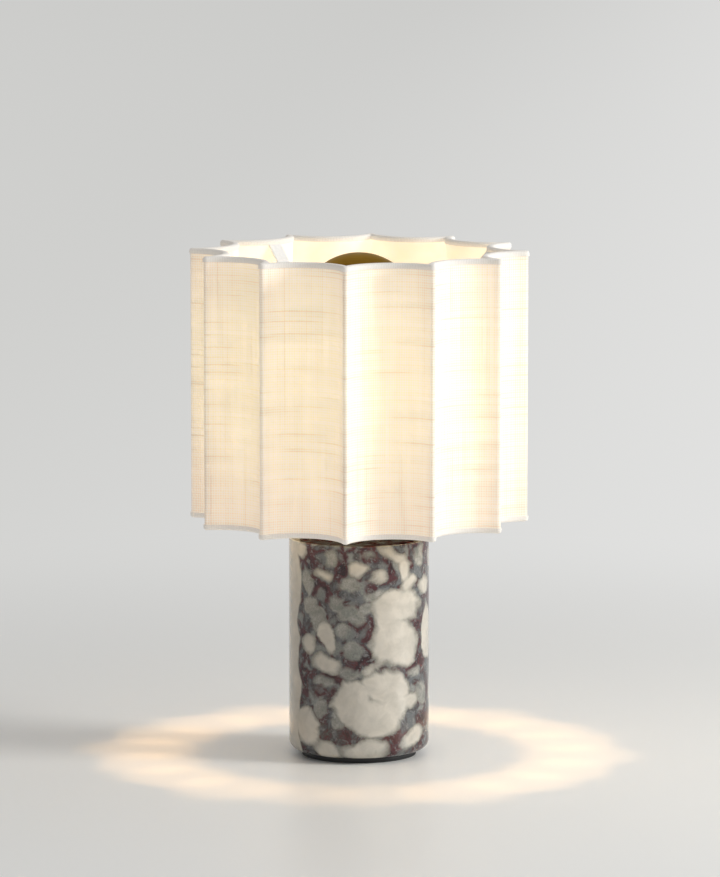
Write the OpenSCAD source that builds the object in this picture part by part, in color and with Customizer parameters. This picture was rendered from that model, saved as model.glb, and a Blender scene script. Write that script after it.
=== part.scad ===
// Cordless table lamp. A marble column holds the battery, a brass stem carries the light
// under a brass dome, and a scalloped linen shade rests on a seat round the dome's foot.
// The shade turns on its felt washer and lifts off over the dome.
// Origin at the centre of the foot, +Z up, +Y to the rear, millimetres.

/* [Marble base] */
// Diameter of the marble column
marble_d = 82.8; // [74:0.2:100]
// Height of the marble column
marble_h = 126.6; // [120:0.2:160]
// Radius of the rounded bottom edge
marble_foot_round = 5.5; // [2:0.5:7]
// Bevel of the top edge
marble_top_bevel = 0.8; // [0.4:0.1:2]
// Wall of the marble round the cavity bored from below
marble_wall = 15.9; // [15.5:0.1:17]
// Depth of the cavity
cavity_h = 88.6; // [87:0.2:100]

/* [Foot] */
// Thickness of the rubber pad
foot_pad_t = 1.4; // [1:0.1:3]
// Thickness of the steel plate
base_plate_t = 2; // [1.8:0.1:3]
// How far the foot stands in from the marble's side
foot_inset = 7.6; // [6.5:0.1:8]
// Diameter of the countersunk screws that hold the plate
screw_d = 3; // [2.5:0.1:3.4]
// Length of these screws
screw_l = 10; // [8:0.5:12]
// Diameter of their heads
screw_head_d = 5.5; // [5:0.1:6]
// Outer diameter of the threaded inserts
insert_d = 4.4; // [4.2:0.1:4.8]
// Marble left between the cavity and an insert
insert_wall = 2.2; // [2:0.1:2.6]

/* [Battery and charging] */
// Diameter of a battery cell
cell_d = 18.4; // [18:0.1:18.6]
// Length of a battery cell
cell_h = 65; // [63:0.5:66]
// Floor of the battery holder under the cells
holder_floor = 4; // [3:0.5:4.5]
// Thickness of the lid over the cells
lid_t = 2.5; // [2:0.1:3]
// Diameter of the screws that hold the lid
lid_screw_d = 2.5; // [2:0.1:2.6]
// Width of the charging board
board_w = 24; // [18:0.5:25]
// Height of the charging board
board_h = 46; // [36:0.5:50]
// Thickness of every circuit board
board_t = 1.6; // [1:0.1:2]
// Height of the charging inlet over the marble's lower face
port_z = 14.6; // [13:0.1:20]
// Diameter of the plug that holds the inlet
bezel_d = 15; // [14:0.1:17]
// Depth of the inlet plug
bezel_l = 14; // [12:0.1:15]
// How far the plug's face lies behind the marble's surface
bezel_recess = 1; // [0.8:0.1:1.5]
// Width of the receptacle's shell
socket_w = 8.9; // [8.8:0.05:9.1]
// Height of the receptacle's shell
socket_h = 3.2; // [3.1:0.05:3.4]
// Depth of the receptacle
socket_l = 7.4; // [6.5:0.1:8]

/* [Stem] */
// Outer diameter of the threaded tube
tube_d = 10; // [9:0.1:10.5]
// Bore of the threaded tube
tube_bore = 7; // [6.5:0.1:7.4]
// Diameter of the lead that runs up the tube
lead_d = 3; // [2:0.1:3.4]
// Diameter of the brass collar on the marble
collar_d = 32; // [32:1:60]
// Thickness of the collar's flange
collar_t = 3; // [2:0.1:4]
// Diameter of the collar's neck
neck_d = 24; // [20:0.5:26]
// Height of the whole collar
collar_h = 8; // [6:0.1:12]
// Diameter of the brass sleeve
sleeve_d = 16; // [15:0.5:18]

/* [Light] */
// Diameter of the opal diffuser
diffuser_d = 64; // [60:0.5:66]
// Height of the diffuser
diffuser_h = 50; // [40:0.5:55]
// Wall of the diffuser
diffuser_t = 2; // [1.5:0.1:3]
// Height of the brass pan round the diffuser's foot
cup_h = 14; // [8:0.5:20]
// Wall of the brass pan
cup_t = 1.5; // [1:0.1:2]
// Number of LED packages
led_count = 12; // [6:1:16]
// Radius of the circle they stand on
led_circle_r = 22; // [18:0.5:24]
// Thickness of the seat plate
seat_t = 2; // [1.5:0.1:3]

/* [Dome] */
// Diameter of the dome
dome_d = 72; // [66:0.5:80]
// Straight skirt under the round part
dome_skirt = 10; // [6:0.5:14]
// Wall of the dome
dome_t = 1.2; // [0.8:0.1:1.6]
// Height of the threaded hub inside the dome
hub_h = 14; // [10:0.5:18]

/* [Shade] */
// Diameter over the ribs
shade_d = 200; // [180:1:240]
// Height of the shade
shade_h = 160; // [140:1:200]
// Gap between the marble and the shade
shade_gap = 10; // [6:0.5:20]
// Number of scallops, a multiple of the three arms
scallop_count = 12; // [9:3:15]
// How far a scallop is drawn in behind the line between its ribs
scallop_depth = 15; // [8:0.5:17]
// Thickness of the frame's wire
wire_t = 2.4; // [2:0.1:3]
// Thickness of the linen
linen_t = 0.5; // [0.4:0.1:0.9]
// Thickness of the lining
lining_t = 0.4; // [0.3:0.1:0.8]
// Thickness of the tape round both edges
trim_t = 0.6; // [0.4:0.1:1]
// Height of the tape round both edges
trim_h = 3.2; // [2.5:0.1:6]

/* [Shade carrier] */
// Height of the top ring over the centre ring
spider_drop = 44.5; // [36:0.5:50]
// Width of the centre ring
spider_ring_w = 5; // [4:0.5:8]
// Thickness of the centre ring
spider_ring_t = 1.6; // [1.2:0.1:2.5]
// Gap between the dome and the centre ring
spider_gap = 1; // [0.5:0.1:2]
// Width of an arm
arm_w = 9; // [6:0.5:12]
// Thickness of an arm
arm_t = 1.6; // [1:0.1:2.4]
// Thickness of the felt washer
felt_t = 0.8; // [0.5:0.1:1.5]

/* [Hidden] */
$fn = 96;

// Clearances
running = 0.05;      // radial, round a screw, tube or shaft
fit = 0.25;          // radial, round a piece that drops into a bore
layer = 0.05;        // between two layers of the shade
over = 1;            // how far a cutting shape runs past what it cuts

// Heights, from the foot up
plate_z = foot_pad_t;
marble_z = plate_z + base_plate_t;
marble_top_z = marble_z + marble_h;
cavity_top_z = marble_z + cavity_h;
collar_top_z = marble_top_z + collar_h;
shade_z = marble_top_z + shade_gap;
shade_top_z = shade_z + shade_h;
top_wire_z = shade_top_z - trim_t - layer - wire_t / 2;
bottom_wire_z = shade_z + trim_t + layer + wire_t / 2;
spider_z = top_wire_z - spider_drop;
washer_z = spider_z - spider_ring_t / 2 - felt_t;
seat_z = washer_z - seat_t;
cup_floor_z = seat_z - diffuser_h;
cup_z = cup_floor_z - cup_t;
dome_centre_z = washer_z + dome_skirt;

// Plan of the foot
foot_d = marble_d - 2 * foot_inset;
cavity_d = marble_d - 2 * marble_wall;
insert_circle_r = cavity_d / 2 + insert_wall + insert_d / 2;
insert_angles = [30, 150, 270];
insert_l = screw_l - base_plate_t;
insert_spare = 1;
pad_hole_d = screw_head_d + 1.5;
screw_head_h = (screw_head_d - screw_d) / 2;
key_d = 0.7 * screw_d;
key_depth = 1;

// Battery holder, with the board's pocket behind the two cells
holder_d = cavity_d - 2 * fit;
well_d = cell_d + 2 * fit;
well_wall = 1;
cell_pitch = well_d + well_wall;
cell_z = marble_z + holder_floor;
holder_top_z = cell_z + cell_h;
lid_top_z = holder_top_z + lid_t;
button_d = 6;
button_h = 1;
pocket_wall = 1.6;
pocket_y = well_d / 2 + pocket_wall;
board_gap = 0.8;
board_y = pocket_y + board_gap;
board_lift = 4;
board_z = cell_z + board_lift;
pocket_depth = board_gap + board_t + lead_d + fit;
lid_screw_l = 8;
lid_screw_gap = 1;
lid_screw_inset = 3;
lid_screw_angles = [35, 145, 270];

// Charging inlet in the marble's rear
port_centre_z = marble_z + port_z;
bezel_face_y = marble_d / 2 - bezel_recess;
bezel_back_y = bezel_face_y - bezel_l;
port_board_side = 0.8;
port_board_edge = 2.3;
port_board_w = socket_w + 2 * port_board_side;
port_board_h = socket_h + 2 * port_board_edge;
socket_recess = 0.6;
port_board_y = bezel_face_y - socket_recess - socket_l - board_t;
socket_wall = 0.3;
wire_pitch = 3;
wire_d = 1.4;
wire_hole_d = wire_pitch + wire_d + 2;

// Nuts, washer and terminal in the cavity, and the threaded tube
nut_flats = 17;
nut_h = 5;
stem_washer_d = 28;
stem_washer_t = 2;
terminal_d = 18;
terminal_t = 0.8;
terminal_z = cavity_top_z - stem_washer_t - terminal_t;
stem_nut_z = terminal_z - nut_h;
tube_below_nut = 3;
tube_z = stem_nut_z - tube_below_nut;
hub_spare = 2;
tube_top_z = washer_z + hub_h - hub_spare;
lamp_nut_flats = 14;
lamp_nut_h = 4;

// LED board, in the pan
led_board_gap = 1;
led_board_d = diffuser_d - 2 * diffuser_t - 2 * led_board_gap;
led_board_hole_d = 18;
led_w = 3;
led_h = 0.8;
cup_bore_d = diffuser_d + 2 * fit;

// Lead: radius of its bends, and where it rises, crosses and lands
bend_r = 3;
lead_rise_y = board_y + board_t + lead_d / 2 + layer;
lead_hole_d = lead_d + 1;
lead_start_drop = 8;
lead_start_z = board_z + board_h - lead_start_drop;
lead_gap = 0.7;
lead_cross_z = tube_z - lead_d / 2 - lead_gap;
lead_exit_gap = 4;
lead_exit_z = cup_floor_z + lamp_nut_h + lead_d / 2 + lead_exit_gap;
lead_land_y = 14;
lead_sides = 8;

// Shade: radius of the ribs' centres, and the arc between two of them
rib_r = shade_d / 2 - wire_t / 2 - linen_t - trim_t - 2 * layer;
scallop_step = 360 / scallop_count;
chord_half = rib_r * sin(scallop_step / 2);
chord_mid_r = rib_r * cos(scallop_step / 2);
scallop_r = (chord_half * chord_half + scallop_depth * scallop_depth) / (2 * scallop_depth);
scallop_centre_r = chord_mid_r - scallop_depth + scallop_r;

// Layers of the shade, measured out from the wire's centre line
linen_in = wire_t / 2 + layer;
linen_out = linen_in + linen_t;
trim_in = linen_out + layer;
trim_out = trim_in + trim_t;
lining_out = -linen_in;
lining_in = lining_out - lining_t;
inner_trim_out = lining_in - layer;
inner_trim_in = inner_trim_out - trim_t;

// Centre ring, the seat and felt under it, and the arms
spider_bore_r = dome_d / 2 + spider_gap;
spider_ring_r = spider_bore_r + spider_ring_w;
seat_rim = 1;
felt_inset = 0.5;
arm_in_r = spider_ring_r + layer;
arm_out_r = chord_mid_r - scallop_depth - wire_t / 2;
arm_end_z = top_wire_z - wire_t / 2;
arm_slope = atan((arm_end_z - spider_z) / (arm_out_r - arm_in_r));
arm_slot = 0.3;

// Points of a quarter turn or less in the plane of the lead
function bend(centre, from, to) = [
    for (i = [0:4]) centre + bend_r * [cos(from + (to - from) * i / 4), sin(from + (to - from) * i / 4)]
];

// Direction of the path at point i
function heading(path, i) =
    let (a = path[max(i - 1, 0)], b = path[min(i + 1, len(path) - 1)]) (b - a) / norm(b - a);

// A round tube along a path in the YZ plane
module lead_along(path, d) {
    points = [
        for (i = [0:len(path) - 1]) let (t = heading(path, i)) for (k = [0:lead_sides - 1])
            let (a = 360 * k / lead_sides, u = d / 2 * sin(a))
                [d / 2 * cos(a), path[i][0] - t[1] * u, path[i][1] + t[0] * u]
    ];
    sides = [
        for (i = [0:len(path) - 2], k = [0:lead_sides - 1])
            let (n = (k + 1) % lead_sides, a = i * lead_sides, b = a + lead_sides)
                each [[a + k, a + n, b + n], [a + k, b + n, b + k]]
    ];
    start = [for (k = [1:lead_sides - 2]) [0, k + 1, k]];
    last = (len(path) - 1) * lead_sides;
    end = [for (k = [1:lead_sides - 2]) [last, last + k, last + k + 1]];
    polyhedron(points, concat(sides, start, end));
}

module tube(z, h, outer, inner) {
    translate([0, 0, z]) difference() {
        cylinder(h = h, d = outer);
        translate([0, 0, -over]) cylinder(h = h + 2 * over, d = inner);
    }
}

module hex_nut(z, h, flats, bore) {
    translate([0, 0, z]) difference() {
        cylinder(h = h, d = flats / cos(30), $fn = 6);
        translate([0, 0, -over]) cylinder(h = h + 2 * over, d = bore);
    }
}

module at_inserts() {
    for (a = insert_angles) rotate(a) translate([insert_circle_r, 0, 0]) children();
}

module foot_pad() {
    color("#17171a") difference() {
        cylinder(h = foot_pad_t, d = foot_d);
        at_inserts() translate([0, 0, -over]) cylinder(h = foot_pad_t + 2 * over, d = pad_hole_d);
    }
}

// Countersunk hole or head, with its large end down
module countersink(z, grow) {
    translate([0, 0, z - over]) cylinder(h = over, d = screw_head_d + 2 * grow);
    translate([0, 0, z])
        cylinder(h = screw_head_h, d1 = screw_head_d + 2 * grow, d2 = screw_d + 2 * grow);
}

module base_plate() {
    color("#202024") difference() {
        translate([0, 0, plate_z]) cylinder(h = base_plate_t, d = foot_d);
        at_inserts() {
            countersink(plate_z, running);
            translate([0, 0, plate_z]) cylinder(h = base_plate_t + over, d = screw_d + 4 * running);
        }
    }
}

module plate_screws() {
    color("#3a3a3e") at_inserts() translate([0, 0, plate_z]) difference() {
        union() {
            cylinder(h = screw_head_h, d1 = screw_head_d, d2 = screw_d);
            cylinder(h = screw_l, d = screw_d);
        }
        translate([0, 0, -over]) cylinder(h = over + key_depth, d = key_d, $fn = 6);
    }
}

module screw_inserts() {
    color("#c9a34e") at_inserts() tube(marble_z, insert_l, insert_d, screw_d + 2 * running);
}

// Half section of the column, with its rounded foot and bevelled top
module column_section() {
    r = marble_d / 2;
    f = marble_foot_round;
    b = marble_top_bevel;
    difference() {
        polygon([[0, 0], [r, 0], [r, marble_h - b], [r - b, marble_h], [0, marble_h]]);
        translate([r - f, 0]) difference() {
            translate([0, -over]) square([f + over, f + over]);
            translate([0, f]) circle(r = f);
        }
    }
}

module marble_base() {
    color("#b9aeac") translate([0, 0, marble_z]) difference() {
        rotate_extrude() column_section();
        translate([0, 0, -over]) cylinder(h = cavity_h + over, d = cavity_d);
        cylinder(h = marble_h + over, d = tube_d + 2 * fit);
        at_inserts() translate([0, 0, -over])
            cylinder(h = over + insert_l + insert_spare, d = insert_d + 2 * running);
        translate([0, 0, port_z]) rotate([-90, 0, 0])
            cylinder(h = marble_d / 2 + over, d = bezel_d + 2 * running);
    }
}

module at_cells() {
    for (side = [-1, 1]) translate([side * cell_pitch / 2, 0, 0]) children();
}

module at_lid_screws() {
    for (a = lid_screw_angles) rotate(a) translate([holder_d / 2 - lid_screw_inset, 0, 0]) children();
}

module battery_holder() {
    color("#2b2b2f") difference() {
        translate([0, 0, marble_z]) cylinder(h = holder_top_z - marble_z, d = holder_d);
        at_cells() translate([0, 0, cell_z]) cylinder(h = cell_h + over, d = well_d);
        translate([-board_w / 2 - fit, pocket_y, board_z])
            cube([board_w + 2 * fit, pocket_depth, holder_top_z - board_z + over]);
        translate([0, pocket_y, port_centre_z]) rotate([-90, 0, 0])
            cylinder(h = holder_d, d = wire_hole_d);
        at_lid_screws() translate([0, 0, holder_top_z - lid_screw_l])
            cylinder(h = lid_screw_l + over, d = lid_screw_d + 2 * running);
    }
}

module battery_cells() {
    color("#3d7fb5") at_cells() translate([0, 0, cell_z]) {
        cylinder(h = cell_h - button_h, d = cell_d);
        cylinder(h = cell_h, d = button_d);
    }
}

module battery_lid() {
    color("#35353a") difference() {
        translate([0, 0, holder_top_z]) cylinder(h = lid_t, d = holder_d);
        translate([0, lead_rise_y, holder_top_z - over]) cylinder(h = lid_t + 2 * over, d = lead_hole_d);
        at_lid_screws() translate([0, 0, holder_top_z - over])
            cylinder(h = lid_t + 2 * over, d = lid_screw_d + 4 * running);
    }
}

module lid_screws() {
    from_z = holder_top_z - lid_screw_l + lid_screw_gap;
    head_h = 0.6 * lid_screw_d;
    head_d = 1.8 * lid_screw_d;
    color("#8d8f94") at_lid_screws() {
        translate([0, 0, lid_top_z]) cylinder(h = head_h, d = head_d);
        translate([0, 0, from_z]) cylinder(h = lid_top_z + head_h - from_z, d = lid_screw_d);
    }
}

// Board with its coil and controller on the rear face
module charge_board() {
    coil_w = 7;
    coil_t = 2;
    chip_w = 6;
    chip_t = 1;
    inset = 1;
    parts_z = board_z + board_h / 2;
    color("#1f6b3a") translate([0, board_y, 0]) {
        translate([-board_w / 2, 0, board_z]) cube([board_w, board_t, board_h]);
        translate([-board_w / 2 + inset, board_t, parts_z]) cube([coil_w, coil_t, coil_w]);
        translate([board_w / 2 - inset - chip_w, board_t, parts_z]) cube([chip_w, chip_t, chip_w]);
    }
}

module charge_lead() {
    from_y = board_y + board_t;
    color("#b3261e") for (side = [-1, 1]) translate([side * wire_pitch / 2, from_y, port_centre_z])
        rotate([-90, 0, 0]) cylinder(h = port_board_y - from_y, d = wire_d);
}

// Rounded slot along Y, from one depth to another
module slot(from_y, to_y, w, h) {
    translate([0, to_y, port_centre_z]) rotate([90, 0, 0]) linear_extrude(to_y - from_y) {
        square([w - h, h], center = true);
        for (side = [-1, 1]) translate([side * (w - h) / 2, 0]) circle(d = h);
    }
}

module port_bezel() {
    pocket_w = port_board_w + 2 * fit;
    pocket_h = port_board_h + 2 * fit;
    color("#1a1a1d") difference() {
        translate([0, bezel_back_y, port_centre_z]) rotate([-90, 0, 0])
            cylinder(h = bezel_l, d = bezel_d);
        slot(bezel_back_y - over, bezel_face_y + over, socket_w + 2 * running, socket_h + 2 * running);
        translate([-pocket_w / 2, bezel_back_y - over, port_centre_z - pocket_h / 2])
            cube([pocket_w, port_board_y + board_t - bezel_back_y + over, pocket_h]);
    }
}

module port_board() {
    color("#1f6b3a") translate([-port_board_w / 2, port_board_y, port_centre_z - port_board_h / 2])
        cube([port_board_w, board_t, port_board_h]);
}

// Steel shell, closed at the back, with the contact tongue in its middle
module usb_socket() {
    back_y = port_board_y + board_t;
    face_y = back_y + socket_l;
    back_t = 1;
    inner_w = socket_w - 2 * socket_wall;
    inner_h = socket_h - 2 * socket_wall;
    tongue_gap = 0.8;
    tongue_w = inner_w - 2 * tongue_gap;
    tongue_t = 0.7;
    tongue_y = back_y + back_t / 2;
    color("#a9abaf") {
        difference() {
            slot(back_y, face_y, socket_w, socket_h);
            slot(back_y + back_t, face_y + over, inner_w, inner_h);
        }
        translate([-tongue_w / 2, tongue_y, port_centre_z - tongue_t / 2])
            cube([tongue_w, face_y - tongue_gap - tongue_y, tongue_t]);
    }
}

// Threaded tube, shown plain, with a side slot where the lead comes out
module stem_tube() {
    color("#c4c6c9") difference() {
        tube(tube_z, tube_top_z - tube_z, tube_d, tube_bore);
        translate([-lead_hole_d / 2, 0, lead_exit_z - lead_d])
            cube([lead_hole_d, tube_d, bend_r + 2 * lead_d]);
    }
}

module stem_washer() {
    color("#a9abaf") tube(cavity_top_z - stem_washer_t, stem_washer_t, stem_washer_d, tube_d + 2 * fit);
}

module touch_terminal() {
    tab_w = 4;
    tab_l = 6;
    color("#d8b45a") difference() {
        translate([0, 0, terminal_z]) {
            cylinder(h = terminal_t, d = terminal_d);
            translate([-tab_w / 2, 0, 0]) cube([tab_w, terminal_d / 2 + tab_l, terminal_t]);
        }
        translate([0, 0, terminal_z - over]) cylinder(h = terminal_t + 2 * over, d = tube_d + 2 * running);
    }
}

module stem_nut() {
    color("#b9babd") hex_nut(stem_nut_z, nut_h, nut_flats, tube_d + 2 * running);
}

// Flange with a bevelled rim, and a neck that takes the sleeve
module collar() {
    bevel = 0.6;
    cove = 1.5;
    bore_r = tube_d / 2 + fit;
    r = collar_d / 2;
    n = neck_d / 2;
    color("#c79a45") translate([0, 0, marble_top_z]) rotate_extrude() polygon([
        [bore_r, 0], [r, 0], [r, collar_t - bevel], [r - bevel, collar_t], [n + cove, collar_t],
        [n, collar_t + cove], [n, collar_h - bevel], [n - bevel, collar_h], [bore_r, collar_h]
    ]);
}

module stem_sleeve() {
    color("#c79a45") tube(collar_top_z, cup_z - collar_top_z, sleeve_d, tube_d + 2 * fit);
}

// Pan with a bevelled foot, clamped on the sleeve by its nut
module lamp_cup() {
    bore_r = tube_d / 2 + fit;
    r = cup_bore_d / 2;
    outer = r + cup_t;
    color("#c79a45") translate([0, 0, cup_z]) rotate_extrude() polygon([
        [bore_r, 0], [outer - cup_t, 0], [outer, cup_t], [outer, cup_h], [r, cup_h], [r, cup_t],
        [bore_r, cup_t]
    ]);
}

module lamp_nut() {
    color("#b9babd") hex_nut(cup_floor_z, lamp_nut_h, lamp_nut_flats, tube_d + 2 * running);
}

module led_board() {
    color("#e9eaec") tube(cup_floor_z, board_t, led_board_d, led_board_hole_d);
}

module led_chips() {
    color("#f4d35e") for (k = [0:led_count - 1]) rotate(360 * (k + 0.5) / led_count)
        translate([led_circle_r - led_w / 2, -led_w / 2, cup_floor_z + board_t])
            cube([led_w, led_w, led_h]);
}

// Up from the charging board, across to the tube, up it, and out and down to the LED board
module lamp_lead() {
    path = concat(
        [[lead_rise_y, lead_start_z]],
        bend([lead_rise_y - bend_r, lead_cross_z - bend_r], 0, 90),
        bend([bend_r, lead_cross_z + bend_r], 270, 180),
        bend([bend_r, lead_exit_z], 180, 90),
        bend([lead_land_y - bend_r, lead_exit_z], 90, 0),
        [[lead_land_y, cup_floor_z + board_t]]
    );
    color("#efece4") lead_along(path, lead_d);
}

// Opal cylinder, closed above
module diffuser() {
    color("#fbf6ea") translate([0, 0, cup_floor_z]) difference() {
        cylinder(h = diffuser_h, d = diffuser_d);
        translate([0, 0, -over])
            cylinder(h = diffuser_h - diffuser_t + over, d = diffuser_d - 2 * diffuser_t);
        cylinder(h = diffuser_h + over, d = tube_d + 2 * fit);
    }
}

module seat_plate() {
    color("#c79a45") tube(seat_z, seat_t, 2 * (spider_ring_r + seat_rim), tube_d + 2 * fit);
}

// Disc that closes the dome, with the hub that screws on the tube
module dome_base() {
    disc_t = 2;
    hub_d = 18;
    color("#b98d3e") difference() {
        translate([0, 0, washer_z]) {
            cylinder(h = disc_t, d = dome_d - 2 * dome_t - 2 * running);
            cylinder(h = hub_h, d = hub_d);
        }
        translate([0, 0, washer_z - over]) cylinder(h = hub_h + 2 * over, d = tube_d + 2 * running);
    }
}

// Half section of a half ball on a straight skirt
module dome_section(r) {
    intersection() {
        circle(r = r);
        square(r);
    }
    translate([0, -dome_skirt]) square([r, dome_skirt]);
}

module dome_cap() {
    color("#a97f35") translate([0, 0, dome_centre_z]) rotate_extrude() difference() {
        dome_section(dome_d / 2);
        dome_section(dome_d / 2 - dome_t);
    }
}

module seat_washer() {
    color("#6b6258") tube(washer_z, felt_t, 2 * (spider_ring_r - felt_inset), 2 * spider_bore_r);
}

module spider_ring() {
    color("#f2f2f0") tube(spider_z - spider_ring_t / 2, spider_ring_t, 2 * spider_ring_r, 2 * spider_bore_r);
}

module at_scallop(k) {
    rotate(scallop_step * (k + 0.5)) children();
}

// Plan inside the wire's centre line, grown by d
module shade_plan(d) {
    difference() {
        circle(r = rib_r + d, $fn = 240);
        for (k = [0:scallop_count - 1]) at_scallop(k) translate([scallop_centre_r, 0])
            circle(r = scallop_r - d);
    }
}

// Upright wall that follows the ribs and scallops
module shade_wall(z, h, inner, outer) {
    translate([0, 0, z]) linear_extrude(h) difference() {
        shade_plan(outer);
        shade_plan(inner);
    }
}

// Straight strip from the centre ring up to the top ring, grown by g all round and by up
// on its upper side
module arm(g, up) {
    half = (arm_t / 2 + g) / cos(arm_slope);
    rise = wire_t * tan(arm_slope);
    rotate([90, 0, 0]) translate([0, 0, -arm_w / 2 - g]) linear_extrude(arm_w + 2 * g) intersection() {
        polygon([
            [arm_in_r, spider_z - half], [arm_in_r, spider_z + half + up],
            [arm_out_r + wire_t, arm_end_z + rise + half + up],
            [arm_out_r + wire_t, arm_end_z + rise - half]
        ]);
        translate([arm_in_r - over, spider_z - spider_ring_t / 2]) square(rib_r);
    }
}

module arms(g, up) {
    for (k = [0:2]) at_scallop(k * scallop_count / 3) arm(g, up);
}

// Each arm ends at the inner face of the top ring
module spider_arms() {
    color("#f2f2f0") difference() {
        arms(0, 0);
        for (k = [0:2]) at_scallop(k * scallop_count / 3) translate([scallop_centre_r, 0, spider_z])
            cylinder(h = 2 * spider_drop, r = scallop_r + wire_t / 2 + layer);
    }
}

module top_ring() {
    color("#e8e8e6") shade_wall(top_wire_z - wire_t / 2, wire_t, -wire_t / 2, wire_t / 2);
}

module bottom_ring() {
    color("#e8e8e6") shade_wall(bottom_wire_z - wire_t / 2, wire_t, -wire_t / 2, wire_t / 2);
}

module shade_ribs() {
    from_z = bottom_wire_z + wire_t / 2;
    color("#e8e8e6") for (k = [0:scallop_count - 1]) rotate(scallop_step * k) translate([rib_r, 0, from_z])
        cylinder(h = top_wire_z - wire_t / 2 - from_z, d = wire_t);
}

module linen_cover() {
    edge = trim_t + layer;
    color("#efe6d6") shade_wall(shade_z + edge, shade_h - 2 * edge, linen_in, linen_out);
}

// The lining and the top tape are notched where the arms pass
module shade_lining() {
    edge = trim_t + layer;
    color("#fbf3e2") difference() {
        shade_wall(shade_z + edge, shade_h - 2 * edge, lining_in, lining_out);
        arms(arm_slot, trim_h);
    }
}

// Tape folded over an edge: an outer and an inner leg, and the fold between them
module top_trim() {
    color("#d9d3c9") difference() {
        shade_wall(shade_top_z - trim_h, trim_h, inner_trim_in, trim_out);
        shade_wall(shade_top_z - trim_h - over, trim_h - trim_t + over, inner_trim_out, trim_in);
        arms(arm_slot, 0);
    }
}

module bottom_trim() {
    color("#d9d3c9") difference() {
        shade_wall(shade_z, trim_h, inner_trim_in, trim_out);
        shade_wall(shade_z + trim_t, trim_h - trim_t + over, inner_trim_out, trim_in);
    }
}

foot_pad();
base_plate();
plate_screws();
screw_inserts();
marble_base();
battery_holder();
battery_cells();
battery_lid();
lid_screws();
charge_board();
charge_lead();
port_bezel();
port_board();
usb_socket();
stem_tube();
stem_washer();
touch_terminal();
stem_nut();
collar();
stem_sleeve();
lamp_cup();
lamp_nut();
led_board();
led_chips();
lamp_lead();
diffuser();
seat_plate();
dome_base();
dome_cap();
seat_washer();
spider_ring();
spider_arms();
top_ring();
bottom_ring();
shade_ribs();
linen_cover();
shade_lining();
top_trim();
bottom_trim();
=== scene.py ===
import math

import bmesh
import bpy
from mathutils import Matrix, Vector, noise


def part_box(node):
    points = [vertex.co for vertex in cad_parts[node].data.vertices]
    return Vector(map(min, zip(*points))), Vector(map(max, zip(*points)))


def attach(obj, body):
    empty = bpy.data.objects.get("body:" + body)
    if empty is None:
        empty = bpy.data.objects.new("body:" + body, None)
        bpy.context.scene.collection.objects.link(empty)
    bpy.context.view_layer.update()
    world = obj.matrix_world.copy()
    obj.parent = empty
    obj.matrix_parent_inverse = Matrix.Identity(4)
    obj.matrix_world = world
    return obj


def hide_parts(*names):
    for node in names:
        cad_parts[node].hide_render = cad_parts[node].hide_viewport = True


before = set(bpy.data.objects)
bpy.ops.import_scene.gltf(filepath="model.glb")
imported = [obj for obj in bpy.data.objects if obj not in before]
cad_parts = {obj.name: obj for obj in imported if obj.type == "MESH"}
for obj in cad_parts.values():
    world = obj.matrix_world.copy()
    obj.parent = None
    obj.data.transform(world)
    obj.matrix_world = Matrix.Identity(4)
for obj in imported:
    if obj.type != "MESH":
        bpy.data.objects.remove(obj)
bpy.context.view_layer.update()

# Camera: a long lens at sitting height, a few paces in front of the lamp and slightly to its
# right, so that the front rib stands left of the lamp's axis.
CAMERA_DISTANCE = 3.136
CAMERA_HEIGHT = 0.615
CAMERA_TURN = math.radians(4.55)
CAMERA_LENS_MM = 220.6
AIM = Vector((0.0006, 0.0, 0.188))


def linked(name, data):
    """A new object with its data, in the scene"""
    made = bpy.data.objects.new(name, data)
    bpy.context.scene.collection.objects.link(made)
    return made


def aim(thing, place, target):
    """Puts the camera or a light at a place and points it at a target"""
    thing.location = place
    thing.rotation_euler = (target - thing.location).to_track_quat("-Z", "Y").to_euler()


camera_data = bpy.data.cameras.new("camera")
camera_data.lens = CAMERA_LENS_MM
camera_data.sensor_width = 36
camera = linked("camera", camera_data)
aim(camera, (CAMERA_DISTANCE * math.sin(CAMERA_TURN), -CAMERA_DISTANCE * math.cos(CAMERA_TURN), CAMERA_HEIGHT),
    AIM)
bpy.context.scene.camera = camera
bpy.context.scene.view_settings.view_transform = "Standard"

# Table top and backdrop: a pale satin surface, lit like the lamp, that fades away from it into
# a plain backdrop, a little lighter towards the window, so that no horizon shows.
BACKDROP = "d9d9d7"
BACKDROP_DIM = "d1d1cf"
BACKDROP_LIGHT = "e6e6e5"
BACKDROP_HALF_WIDTH = 0.6
FAR_SHADE = 0.955
TABLE_TOP = "f4f3ef"
FADE_FROM = 0.24
FADE_TO = 0.85
TABLE_RADIUS = 16.0


def linear(colour):
    """An sRGB hex colour as Blender's linear colour"""
    parts = [int(colour[k:k + 2], 16) / 255 for k in (0, 2, 4)]
    return [p / 12.92 if p <= 0.04045 else ((p + 0.055) / 1.055) ** 2.4 for p in parts] + [1.0]


def bare_tree(owner):
    """The emptied node tree of a material or a world"""
    owner.use_nodes = True
    owner.node_tree.nodes.clear()
    return owner.node_tree


def add(tree, kind, links=None, out=0, stops=None, **settings):
    """Adds a shader node with its settings and links, and gives one of its outputs"""
    node = tree.nodes.new("ShaderNode" + kind)
    for name, value in settings.items():
        setattr(node, name, value)
    for name, value in (links or {}).items():
        if isinstance(value, bpy.types.NodeSocket):
            tree.links.new(value, node.inputs[name])
        else:
            node.inputs[name].default_value = value
    for k, (place, colour) in enumerate(stops or []):
        elements = node.color_ramp.elements
        element = elements[k] if k < len(elements) else elements.new(place)
        element.position, element.color = place, linear(colour)
    return node.outputs[out] if node.outputs else None


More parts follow.
